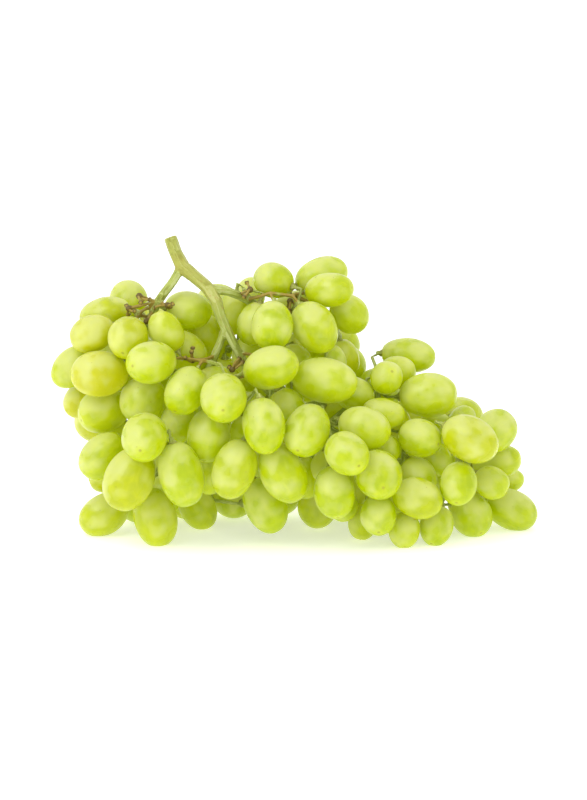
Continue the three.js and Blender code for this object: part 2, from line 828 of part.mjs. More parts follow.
function layOut() {
  const berries = [];
  for (const [branch, { whole, tucked }] of Object.entries(BRANCHES)) {
    whole.forEach((row, i) => berries.push(makeBerry(row, FRONT_MOBILITY, `berry_${branch}_${i + 1}`)));
    tucked.forEach((row, i) => berries.push(makeBerry(row, FRONT_MOBILITY, `tucked_${branch}_${i + 1}`)));
  }
  berries.push(...farBerries());
  const trunk = Object.values(ROUTES).flatMap((rows) =>
    beadsAlong(routeCurve(rows), rows.map((row) => row[3]), null),
  );
  const dried = DRIED_PEDICELS.flatMap((ends) => beadsAlong(driedLine(ends), [DRIED_RADIUS, DRIED_KNOB], null));
  settle(berries, () => [...trunk, ...dried], FIRST_ROUNDS);

  const hubs = {};
  for (const [name, place] of Object.entries(SPRIG_HUBS)) {
    hubs[`sprig_${name}`] = new THREE.Vector3(...place);
  }
  const members = shareOut(berries.filter(({ name }) => !name.startsWith('berry_')), hubs);
  for (const [name, held] of Object.entries(members)) {
    const middle = new THREE.Vector3();
    held.forEach((berry) => middle.addScaledVector(stemEnd(berry, PEDICEL_NECK), 1 / held.length));
    hubs[name] = clearestPoint(middle, berries, trunk);
  }
  const growth = new Growth(berries, trunk, dried, hubs, members);
  for (let i = 0; i < MOST_REROUTES; i += 1) {
    settle(berries, () => growth.beads(), LATER_ROUNDS);
    growth.beads();
    const tight = growth.pedicels.filter((pedicel) => growth.tight(pedicel));
    if (tight.length === 0) {
      break;
    }
    tight.forEach((pedicel) => growth.lead(pedicel));
    growth.beads();
  }
  return { berries, hubs, members, pedicels: growth.pedicels };
}

function pedicelTubes(pedicels, node) {
  return pedicels
    .filter((pedicel) => pedicel.node === node)
    .map(({ curve }) => tube(curve, PEDICEL_RADII, PEDICEL_SIDES, PEDICEL_STEP));
}

function stemSolid(pedicels) {
  const pieces = pedicelTubes(pedicels.filter(({ berry }) => berry), 'stem');
  for (const rows of Object.values(ROUTES)) {
    pieces.push(tube(routeCurve(rows), rows.map((row) => row[3]), STEM_SIDES, STEM_STEP));
  }
  for (const ends of DRIED_PEDICELS) {
    const line = driedLine(ends);
    pieces.push(tube(line, [DRIED_RADIUS, DRIED_RADIUS], PEDICEL_SIDES, PEDICEL_STEP));
    pieces.push(ball(line.v2, DRIED_KNOB));
  }
  return joined(pieces);
}

const { berries, hubs, members, pedicels } = layOut();
const bunch = new THREE.Group();

for (const berry of berries.filter(({ name }) => name.startsWith('berry_'))) {
  const body = berrySolid(berry, BERRY_RINGS, -TABLE_DIP).subtract(block(berry.centre));
  bunch.add(part(berry.name, body, berry.centre, BERRY_COLOUR, 0.35));
}

for (const [name, held] of Object.entries(members)) {
  const pieces = held.map((berry) => berrySolid(berry, TUCKED_RINGS, TABLE_CLEARANCE));
  const body = joined([...pieces, ball(hubs[name], HUB_RADIUS), ...pedicelTubes(pedicels, name)]);
  bunch.add(part(name, body, hubs[name], TUCKED_COLOUR, 0.35));
}

bunch.add(part('stem', stemSolid(pedicels), new THREE.Vector3(), STEM_COLOUR, 0.6));

bunch.updateMatrixWorld(true);
const box = new THREE.Box3().setFromObject(bunch, true);
const middle = box.getCenter(new THREE.Vector3());
bunch.position.set(-middle.x, -middle.y, -box.min.z);

export default bunch;
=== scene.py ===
"""A bunch of white table grapes on a plain pale floor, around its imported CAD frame.

The CAD nodes hold the place, the direction and the size of every berry, and the
run of the stem. Each berry and each stretch of stem is read back from them and
built anew as a fine surface, and then takes a procedural finish.
"""

import logging
import math
from collections import defaultdict
from dataclasses import dataclass, field
from enum import Enum
from typing import Iterable

import bmesh
import bpy
import numpy as np
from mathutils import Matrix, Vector, noise
from mathutils.bvhtree import BVHTree


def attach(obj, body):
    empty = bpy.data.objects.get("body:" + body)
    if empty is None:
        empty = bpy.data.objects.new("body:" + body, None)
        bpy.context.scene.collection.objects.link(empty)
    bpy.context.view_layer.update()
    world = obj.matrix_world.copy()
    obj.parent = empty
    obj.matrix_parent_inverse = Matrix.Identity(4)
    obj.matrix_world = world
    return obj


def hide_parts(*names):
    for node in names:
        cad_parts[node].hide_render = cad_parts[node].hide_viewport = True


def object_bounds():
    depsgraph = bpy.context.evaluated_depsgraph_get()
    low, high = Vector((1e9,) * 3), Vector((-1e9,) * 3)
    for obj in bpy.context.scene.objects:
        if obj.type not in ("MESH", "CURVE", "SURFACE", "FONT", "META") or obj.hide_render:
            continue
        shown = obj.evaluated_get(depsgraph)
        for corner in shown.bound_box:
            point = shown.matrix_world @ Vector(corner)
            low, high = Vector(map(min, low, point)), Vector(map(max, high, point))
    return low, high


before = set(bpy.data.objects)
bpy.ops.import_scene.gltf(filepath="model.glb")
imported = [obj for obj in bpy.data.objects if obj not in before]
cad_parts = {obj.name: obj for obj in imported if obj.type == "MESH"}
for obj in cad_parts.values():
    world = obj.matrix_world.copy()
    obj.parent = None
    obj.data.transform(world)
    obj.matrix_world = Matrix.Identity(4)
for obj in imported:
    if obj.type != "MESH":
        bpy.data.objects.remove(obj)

LOG = logging.getLogger("grapes")
CAD_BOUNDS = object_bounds()
MM = 0.001


class Slot(Enum):
    """The record's finishes."""

    SKIN = "grape_skin"
    TUCKED_SKIN = "tucked_grape_skin"
    STEM = "stem"


# ---- Small tools -----------------------------------------------------------


def linear(hex_colour: str) -> tuple[float, float, float, float]:
    """Turns an sRGB hex colour into linear RGBA.

    Args:
        hex_colour: Six hex digits, such as "C5D82A".

    Returns:
        Red, green and blue in linear light, and an alpha of 1.
    """
    channels = [int(hex_colour[i : i + 2], 16) / 255 for i in (0, 2, 4)]
    curved = [c / 12.92 if c <= 0.04045 else ((c + 0.055) / 1.055) ** 2.4 for c in channels]
    return (*curved, 1.0)


def add_node(
    tree: bpy.types.NodeTree, kind: str, settings: dict | None = None, links: dict | None = None
) -> bpy.types.Node:
    """Adds a node, sets it up and links it.

    Args:
        tree: The node tree that the node goes into.
        kind: The node's type name after "ShaderNode", such as "Mix".
        settings: Properties of the node by name, and values of its inputs by
            name or number.
        links: Output sockets by the name or number of the input they go to.

    Returns:
        The new node.
    """
    node = tree.nodes.new("ShaderNode" + kind)
    for name, value in (settings or {}).items():
        if isinstance(name, str) and hasattr(node, name):
            setattr(node, name, value)
        else:
            node.inputs[name].default_value = value
    for name, output in (links or {}).items():
        tree.links.new(output, node.inputs[name])
    return node


def dress_shader(
    shader: bpy.types.Node,
    values: dict[str, float | tuple[float, ...]],
    links: dict[str, bpy.types.NodeSocket],
) -> None:
    """Sets a shader's plain inputs and links the others.

    Args:
        shader: The material's shader node.
        values: Constants by the input's name.
        links: Output sockets by the input's name.
    """
    for name, value in values.items():
        shader.inputs[name].default_value = value
    for name, output in links.items():
        shader.id_data.links.new(output, shader.inputs[name])


@dataclass(frozen=True)
class Layer:
    """A colour laid over the ones below it, by how far a steering value has come.

    Attributes:
        steer: Name of the steering value.
        low: Steering value where the layer begins to show.
        high: Steering value from which on it shows most.
        share: How much of it shows there, from 0 to 1.
        colour: Its sRGB hex colour.
    """

    steer: str
    low: float
    high: float
    share: float
    colour: str


def lay_colours(
    tree: bpy.types.NodeTree,
    ground: str,
    layers: Iterable[Layer],
    steering: dict[str, bpy.types.NodeSocket],
) -> bpy.types.NodeSocket:
    """Lays colours over a ground, one after another.

    Args:
        tree: The node tree that the nodes go into.
        ground: The lowest colour, as sRGB hex.
        layers: The colours over it, the lowest first.
        steering: The sockets that steer the layers, by name.

    Returns:
        The colour on top.
    """
    below: dict[int, bpy.types.NodeSocket] = {}
    for layer in layers:
        rise = {"interpolation_type": "SMOOTHSTEP", 1: layer.low, 2: layer.high, 3: 0.0, 4: layer.share}
        shown = add_node(tree, "MapRange", rise, {0: steering[layer.steer]}).outputs[0]
        colours = {"data_type": "RGBA", 6: linear(ground), 7: linear(layer.colour)}
        below = {6: add_node(tree, "Mix", colours, {0: shown, **below}).outputs[2]}
    return below[6]


def smooth_step(low: float, high: float, values: np.ndarray) -> np.ndarray:
    """Eases values from 0 at low to 1 at high."""
    share = np.clip((values - low) / (high - low), 0, 1)
    return share * share * (3 - 2 * share)


def unit(vector: np.ndarray) -> np.ndarray:
    """Scales a vector to length 1."""
    return vector / np.linalg.norm(vector)


def across(axis: np.ndarray) -> tuple[np.ndarray, np.ndarray]:
    """Gives two unit vectors at right angles to an axis and to each other."""
    helper = np.array([0.0, 0.0, 1.0]) if abs(axis[2]) < 0.9 else np.array([1.0, 0.0, 0.0])
    first = unit(np.cross(axis, helper))
    return first, np.cross(axis, first)


def lathe_faces(around: int, rings: int) -> list[tuple[int, ...]]:
    """Lists the faces of a turned solid.

    Args:
        around: Corners in a ring.
        rings: Rings between the two end corners, which come first and last.

    Returns:
        The faces, as corner numbers.
    """
    last = 1 + around * rings
    faces: list[tuple[int, ...]] = []
    for i in range(around):
        j = (i + 1) % around
        faces.append((0, 1 + i, 1 + j))
        for ring in range(rings - 1):
            low, high = 1 + ring * around, 1 + (ring + 1) * around
            faces.append((low + j, low + i, high + i, high + j))
        tail = 1 + (rings - 1) * around
        faces.append((tail + j, tail + i, last))
    return faces


@dataclass
class Surface:
    """A mesh being put together, with values that its finish reads.

    Attributes:
        points: Blocks of corners, in metres.
        faces: Corner numbers of each face.
        values: Blocks of per-corner values by name, three numbers each.
        size: How many corners there are so far.
    """

    points: list[np.ndarray] = field(default_factory=list)
    faces: list[tuple[int, ...]] = field(default_factory=list)
    values: dict[str, list[np.ndarray]] = field(default_factory=lambda: defaultdict(list))
    size: int = 0

    def add(self, points: np.ndarray, faces: Iterable[tuple[int, ...]], **values: np.ndarray) -> None:
        """Adds a shape.

        Args:
            points: Its corners.
            faces: Its faces, numbered from 0.
            **values: Its per-corner values.
        """
        self.faces += [tuple(corner + self.size for corner in face) for face in faces]
        self.points.append(points)
        self.size += len(points)
        for name, block in values.items():
            self.values[name].append(block)

    def piece(self, name: str, material: bpy.types.Material) -> bpy.types.Object:
        """Makes the Blender object.

        Args:
            name: The object's name.
            material: Its finish.

        Returns:
            The object, shaded smooth and in the scene.
        """
        mesh = bpy.data.meshes.new(name)
        mesh.from_pydata(np.concatenate(self.points).tolist(), [], self.faces)
        for key, blocks in self.values.items():
            store = mesh.attributes.new(key, "FLOAT_VECTOR", "POINT")
            store.data.foreach_set("vector", np.concatenate(blocks).astype(np.float32).ravel())
        return place(name, mesh, material)


def place(name: str, mesh: bpy.types.Mesh, material: bpy.types.Material) -> bpy.types.Object:
    """Puts a smooth-shaded mesh with a material into the scene."""
    mesh.polygons.foreach_set("use_smooth", [True] * len(mesh.polygons))
    mesh.materials.clear()
    mesh.materials.append(material)
    piece = bpy.data.objects.new(name, mesh)
    bpy.context.scene.collection.objects.link(piece)
    return piece


def hand_over(piece: bpy.types.Object, slot: Slot, *nodes: str) -> None:
    """Ties a finished piece to the body and hides the CAD nodes it stands for."""
    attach(piece, "root")
    if nodes:
        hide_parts(*nodes)
    LOG.info("%s: %d faces", piece.name, len(piece.data.polygons))


# ---- Reading the CAD frame -------------------------------------------------


@dataclass(frozen=True)
class Oval:
    """A berry's spheroid.

    Attributes:
        centre: Its middle, in metres.
        axis: Unit vector from the stem end to the blossom end.
        half_length: Half its length, in metres.
        half_width: Half its width, in metres.
    """

    centre: np.ndarray
    axis: np.ndarray
    half_length: float
    half_width: float

    def level(self, points: np.ndarray) -> np.ndarray:
        """Tells how far out points lie: below 1 is inside, 1 is on the skin."""
        away = points - self.centre
        along = away @ self.axis
        aside = np.sum(away * away, axis=1) - along**2
        return np.sqrt((along / self.half_length) ** 2 + np.maximum(aside, 0) / self.half_width**2)


class CadMesh:
    """A CAD node's mesh with its shared corners merged.

    Attributes:
        points: Its corners, one row each, in metres.
        triangles: Corner numbers of its triangles, one row each.
        around: The corners next to each corner.
    """

    merge_grid = 0.002 * MM
    round_within = 0.03 * MM

    def __init__(self, node: str) -> None:
        """Reads a node.

        Args:
            node: The node's name.
        """
        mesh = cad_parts[node].data
        mesh.calc_loop_triangles()
        raw = np.array([v.co for v in mesh.vertices], float).reshape(-1, 3)
        corners = np.array([t.vertices for t in mesh.loop_triangles], int).reshape(-1, 3)
        keys = np.round(raw / self.merge_grid)
        _, first, merged = np.unique(keys, axis=0, return_index=True, return_inverse=True)
        a, b, c = merged.reshape(-1)[corners].T
        self.points = raw[first]
        self.triangles = np.stack([a, b, c], axis=1)[(a != b) & (b != c) & (a != c)]
        self.around: dict[int, set[int]] = defaultdict(set)
        for a, b, c in self.triangles.tolist():
            self.around[a] |= {b, c}
            self.around[b] |= {a, c}
            self.around[c] |= {a, b}

    def is_ring(self, corners: Iterable[int]) -> bool:
        """Tells whether corners lie on one circle about their middle."""
        ring = self.points[list(corners)]
        radii = np.linalg.norm(ring - ring.mean(0), axis=1)
        return float(np.ptp(radii)) < self.round_within

    def poles(self, sides: int) -> list[int]:
        """Finds the corners where a turned solid's triangles meet in a fan.

        Args:
            sides: How many triangles the fan has.

        Returns:
            The corners' numbers.
        """
        found = []
        for corner, ring in self.around.items():
            spread = np.linalg.norm(self.points[list(ring)] - self.points[corner], axis=1)
            if len(ring) == sides and np.ptp(spread) < self.round_within and self.is_ring(ring):
                found.append(corner)
        return sorted(found)


# A CAD berry has eight sides, and its ring at 68 degrees from the blossom end
# has no twin at the stem end.
BERRY_SIDES = 8
BLOSSOM_RING_LEVEL = math.cos(math.radians(68))
LEVEL_WITHIN = 0.01
PRESSED_FLAT_BELOW = 0.01 * MM


def whole_berry(node: str) -> Oval:
    """Fits the spheroid of a node that is one berry.

    Args:
        node: The node's name.

    Returns:
        The berry, turned so that its axis ends at the blossom end.
    """
    mesh = CadMesh(node)
    points = mesh.points[mesh.points[:, 2] > PRESSED_FLAT_BELOW] / MM
    origin = points.mean(0)
    x, y, z = (points - origin).T
    terms = np.stack([x * x, y * y, z * z, 2 * x * y, 2 * x * z, 2 * y * z, 2 * x, 2 * y, 2 * z], axis=1)
    q = np.linalg.lstsq(terms, np.ones(len(points)), rcond=None)[0]
    form = np.array([[q[0], q[3], q[4]], [q[3], q[1], q[5]], [q[4], q[5], q[2]]])
    centre = -np.linalg.solve(form, q[6:9])
    sizes, axes = np.linalg.eigh(form / (1 + centre @ form @ centre))
    axis = axes[:, 0]
    half_length = 1 / math.sqrt(sizes[0])
    half_width = 1 / math.sqrt((sizes[1] + sizes[2]) / 2)
    levels = (points - origin - centre) @ axis / half_length
    blossom = np.sum(np.abs(levels - BLOSSOM_RING_LEVEL) < LEVEL_WITHIN)
    stem = np.sum(np.abs(levels + BLOSSOM_RING_LEVEL) < LEVEL_WITHIN)
    if stem > blossom:
        axis = -axis
    return Oval((origin + centre) * MM, axis, half_length * MM, half_width * MM)


def tucked_berries(mesh: CadMesh) -> list[Oval]:
    """Finds the spheroids of the berries that one branchlet carries.

    Args:
        mesh: The branchlet's mesh, where each berry's blossom end is a fan and
            its second ring is its waist.

    Returns:
        The berries.
    """
    found = []
    for pole in mesh.poles(BERRY_SIDES):
        first = mesh.around[pole]
        second = set().union(*(mesh.around[corner] for corner in first)) - first - {pole}
        if len(second) == BERRY_SIDES and mesh.is_ring(second):
            waist = mesh.points[list(second)]
            centre = waist.mean(0)
            away = mesh.points[pole] - centre
            width = float(np.linalg.norm(waist - centre, axis=1).mean())
            found.append(Oval(centre, unit(away), float(np.linalg.norm(away)), width))
    return found


# ---- Finishes --------------------------------------------------------------


@dataclass(frozen=True)
class GrapeSkin:
    """Fresh white grape skin, grown, with its wax bloom partly rubbed off.

    Clear skin over wet flesh: light goes some millimetres in and comes out
    yellow-green, so no berry has a hard shadow side. The wax makes the shine
    broad and milky, in patches, and its pale patches are painted more on
    the side towards the key lamp: a painted highlight. A painted glow lifts
    the shaded parts.

    Attributes:
        name: The material's name.
        ground: Colour of the flesh where it shows deepest.
        layers: What lies over it, from the flesh's own mottling up to the
            blossom scar. Distances from the scar are in millimetres.
        roughness: Of the clean skin and of the waxed skin.
        wax_steps: Wax values that these two roughnesses belong to.
        ior: Refractive index of skin and flesh.
        specular: Strength of the skin's own shine.
        coat: Strength, roughness and refractive index of the wax's shine.
        light_share: Share of the light that goes into the flesh.
        light_reach: How far it goes, in metres.
        reach_by_colour: Share of that reach in red, green and blue.
        painted_glow_colour: Colour of the painted glow, an emission that stands in
            for light coming through the berries around.
        glow: Strength of that painted glow.
        painted_highlight_side: Direction of the side towards the key lamp, where the
            pale wax patches are painted more, as a painted highlight.
        painted_highlight_gain: How much more of that painted highlight that side gets.
        mottle_size: Size of the flesh's mottling, in millimetres.
        wax_patch_size: Size of the wax patches, in millimetres.
        streaks_round: How many veins go round a berry.
        pore_size: Size of the pores, in millimetres.
        speck_spacing: Distance between specks, in millimetres.
        bump: Strength of the relief, and its depth in metres.
    """

    name: str = "fresh_white_grape_skin_with_wax_bloom"
    ground: str = "9AAF00"
    layers: tuple[Layer, ...] = (
        Layer("mottle", 0.3, 0.7, 1.0, "AFC000"),
        Layer("veins", 0.48, 0.75, 0.4, "C6D02A"),
        Layer("paleness", 0.0, 1.0, 0.5, "C6D02A"),
        Layer("ripeness", 0.0, 1.0, 0.7, "CBBB1E"),
        # The wax patches' pale colour: partly real bloom, partly a painted highlight on the side towards
        # the key lamp.
        Layer("kept_wax", 0.46, 0.8, 0.68, "CFD38C"),
        Layer("from_speck", 0.07, 0.03, 0.5, "8C7A2C"),
        Layer("from_scar", 2.6, 1.0, 0.45, "C6D02A"),
        Layer("from_scar", 0.8, 0.24, 0.5, "7A6526"),
    )
    roughness: tuple[float, float] = (0.26, 0.42)
    wax_steps: tuple[float, float] = (0.4, 0.7)
    ior: float = 1.42
    specular: float = 0.42
    coat: tuple[float, float, float] = (0.15, 0.14, 1.45)
    light_share: float = 0.9
    light_reach: float = 5.0 * MM
    reach_by_colour: tuple[float, float, float] = (1.0, 0.95, 0.1)
    # Painted glow: an emission that lifts the berries' shaded parts.
    painted_glow_colour: str = "C0CC00"
    glow: float = 0.16
    # Painted highlight: the side towards the key lamp, whose wax patches are painted paler.
    painted_highlight_side: tuple[float, float, float] = (-0.45, -0.4, 0.8)
    painted_highlight_gain: float = 0.24
    mottle_size: float = 6.0
    wax_patch_size: float = 8.0
    streaks_round: float = 22.0
    pore_size: float = 0.45
    speck_spacing: float = 5.0
    bump: tuple[float, float] = (0.35, 0.04 * MM)

    def material(self) -> bpy.types.Material:
        """Builds the material.

        Returns:
            A material that reads each corner's place in its own berry.
        """
        made = bpy.data.materials.new(self.name)
        made.use_nodes = True
        tree = made.node_tree
        shader = tree.nodes["Principled BSDF"]
        place_in, rays, nature = (
            add_node(tree, "Attribute", {"attribute_name": key}).outputs["Vector"]
            for key in ("berry_place", "berry_rays", "berry_nature")
        )
        parts = add_node(tree, "SeparateXYZ", None, {0: nature}).outputs
        steering = dict(zip(("from_scar", "ripeness", "paleness"), parts))
        vein_scale = self.streaks_round / math.tau
        for key, where, settings in (
            ("mottle", place_in, {"Scale": 1 / self.mottle_size, "Detail": 3.0, "Roughness": 0.55}),
            ("veins", rays, {"Scale": vein_scale, "Detail": 2.5, "Roughness": 0.6, "Distortion": 0.35}),
            ("wax", place_in, {"Scale": 1 / self.wax_patch_size, "Detail": 1.5, "Roughness": 0.5}),
            ("pores", place_in, {"Scale": 1 / self.pore_size, "Detail": 2.0, "Roughness": 0.5}),
        ):
            steering[key] = add_node(tree, "TexNoise", settings, {"Vector": where}).outputs[0]
        specks = {"Scale": 1 / self.speck_spacing, "Randomness": 1.0}
        cells = add_node(tree, "TexVoronoi", specks, {"Vector": place_in})
        steering["from_speck"] = cells.outputs["Distance"]
        normal = add_node(tree, "NewGeometry").outputs["Normal"]
        # Painted highlight: more pale wax patches on the side that faces the key lamp.
        side = {"operation": "DOT_PRODUCT", 1: self.painted_highlight_side}
        facing = add_node(tree, "VectorMath", side, {0: normal}).outputs["Value"]
        painted_highlight_bias = {"operation": "MULTIPLY_ADD", 1: self.painted_highlight_gain}
        steering["kept_wax"] = add_node(tree, "Math", painted_highlight_bias, {0: facing, 2: steering["wax"]}).outputs[0]
        rises = {0: steering["pores"], 1: steering["veins"]}
        relief = add_node(tree, "Math", {"operation": "ADD"}, rises).outputs[0]
        rough = dict(zip((1, 2, 3, 4), self.wax_steps + self.roughness))
        bump = dict(zip(("Strength", "Distance"), self.bump))
        dress_shader(
            shader,
            {
                "IOR": self.ior,
                "Specular IOR Level": self.specular,
                "Coat Weight": self.coat[0],
                "Coat Roughness": self.coat[1],
                "Coat IOR": self.coat[2],
                "Subsurface Weight": self.light_share,
                "Subsurface Radius": self.reach_by_colour,
                "Subsurface Scale": self.light_reach,
                # Painted glow: the berries emit light, which lifts their shaded parts in place of light
                # that has wandered through the neighbouring berries.
                "Emission Color": linear(self.painted_glow_colour),
                "Emission Strength": self.glow,
            },
            {
                "Base Color": lay_colours(tree, self.ground, self.layers, steering),
                "Roughness": add_node(tree, "MapRange", rough, {0: steering["wax"]}).outputs[0],
                "Normal": add_node(tree, "Bump", bump, {"Height": relief}).outputs[0],
            },
        )
        return made


@dataclass(frozen=True)
class GreenStem:
    """Fresh grape stalk, grown and ridged, with its dried pedicels.

    Fibres run along it as pale and darker streaks in shallow grooves. It is
    matt, and tan where it thickens. Pedicels that lost their berry are brown.

    Attributes:
        name: The material's name.
        ground: Colour in the grooves.
        layers: What lies over it, from the green fibres up to the charred ends
            of dried pedicels.
        streaks_round: How many fibres go round the stalk.
        streak_length: Their length, in metres.
        cork_size: Size of the cork spots, in metres.
        roughness: How matt it is.
        ior: Refractive index of its skin.
        bump: Strength of the relief, and its depth in metres.
        light_share: Share of the light that goes into it.
        light_reach: How far it goes, in metres.
        reach_by_colour: Share of that reach in red, green and blue.
    """

    name: str = "fresh_ridged_grape_stalk"
    ground: str = "858E36"
    layers: tuple[Layer, ...] = (
        Layer("fibres", 0.36, 0.5, 1.0, "A9B452"),
        Layer("fibres", 0.5, 0.62, 0.9, "C6CE86"),
        Layer("thick", 0.2, 1.0, 0.4, "B5A848"),
        Layer("corks", 0.6, 0.72, 0.45, "B08A45"),
        Layer("dried", 0.15, 0.75, 1.0, "A48E3C"),
        Layer("charred", 0.3, 0.9, 0.8, "4B3A18"),
    )
    streaks_round: float = 12.0
    streak_length: float = 14.0 * MM
    cork_size: float = 1.6 * MM
    roughness: float = 0.5
    ior: float = 1.45
    bump: tuple[float, float] = (0.6, 0.15 * MM)
    light_share: float = 0.15
    light_reach: float = 0.6 * MM
    reach_by_colour: tuple[float, float, float] = (0.9, 1.0, 0.4)

    def material(self) -> bpy.types.Material:
        """Builds the material.

        Returns:
            A material that reads how thick and how dried each corner is.
        """
        made = bpy.data.materials.new(self.name)
        made.use_nodes = True
        tree = made.node_tree
        shader = tree.nodes["Principled BSDF"]
        nature = add_node(tree, "Attribute", {"attribute_name": "stem_nature"}).outputs["Vector"]
        parts = add_node(tree, "SeparateXYZ", None, {0: nature}).outputs
        steering = dict(zip(("dried", "thick", "charred"), parts))
        geometry = add_node(tree, "NewGeometry").outputs
        # A straight stalk's normal is the same all along a fibre, so noise that
        # follows the normal quickly and the place slowly draws fibres.
        paces = {"Normal": self.streaks_round / math.tau, "Position": 1 / self.streak_length}
        facing, along = (
            add_node(tree, "VectorMath", {"operation": "SCALE", 3: pace}, {0: geometry[key]}).outputs[0]
            for key, pace in paces.items()
        )
        fibre_place = add_node(tree, "VectorMath", {"operation": "ADD"}, {0: facing, 1: along}).outputs[0]
        for key, where, scale in (
            ("fibres", fibre_place, 1.0),
            ("corks", geometry["Position"], 1 / self.cork_size),
        ):
            settings = {"Scale": scale, "Detail": 3.0, "Roughness": 0.6}
            steering[key] = add_node(tree, "TexNoise", settings, {"Vector": where}).outputs[0]
        rises = {0: steering["fibres"], 1: steering["corks"]}
        relief = add_node(tree, "Math", {"operation": "ADD"}, rises).outputs[0]
        bump = dict(zip(("Strength", "Distance"), self.bump))
        dress_shader(
            shader,
            {
                "Roughness": self.roughness,
                "IOR": self.ior,
                "Subsurface Weight": self.light_share,
                "Subsurface Radius": self.reach_by_colour,
                "Subsurface Scale": self.light_reach,
            },
            {
                "Base Color": lay_colours(tree, self.ground, self.layers, steering),
                "Normal": add_node(tree, "Bump", bump, {"Height": relief}).outputs[0],
            },
        )
        return made


@dataclass(frozen=True)
class FloorPaper:
    """Matt white background paper, rolled out and lit through from below.

    Nearly flat white, with a faint tooth and only a light shadow.

    Attributes:
        name: The material's name.
        white: Its colour.
        shade: Its colour in the tooth's hollows.
        tooth_size: Size of the tooth, in metres. It is drawn coarser than real
            paper's, which is finer than can be seen from here.
        roughness: How matt it is.
        specular: Strength of its shine.
        glow: Strength of the light through it.
    """

    name: str = "matt_white_background_paper"
    white: str = "F6F6F4"
    shade: str = "F1F1EF"
    tooth_size: float = 3.0 * MM
    roughness: float = 0.9
    specular: float = 0.2
    glow: float = 0.43

    def material(self) -> bpy.types.Material:
        """Builds the material."""
        made = bpy.data.materials.new(self.name)
        made.use_nodes = True
        tree = made.node_tree
        where = add_node(tree, "NewGeometry").outputs["Position"]
        grain = {"Scale": 1 / self.tooth_size, "Detail": 2.0}
        tooth = add_node(tree, "TexNoise", grain, {"Vector": where}).outputs[0]
        colours = {"data_type": "RGBA", 6: linear(self.shade), 7: linear(self.white)}
        dress_shader(
            tree.nodes["Principled BSDF"],
            {
                "Roughness": self.roughness,
                "Specular IOR Level": self.specular,
                "Emission Color": linear("FFFFFF"),
                "Emission Strength": self.glow,
            },
            {"Base Color": add_node(tree, "Mix", colours, {0: tooth}).outputs[2]},
        )
        return made


# ---- Berries ---------------------------------------------------------------


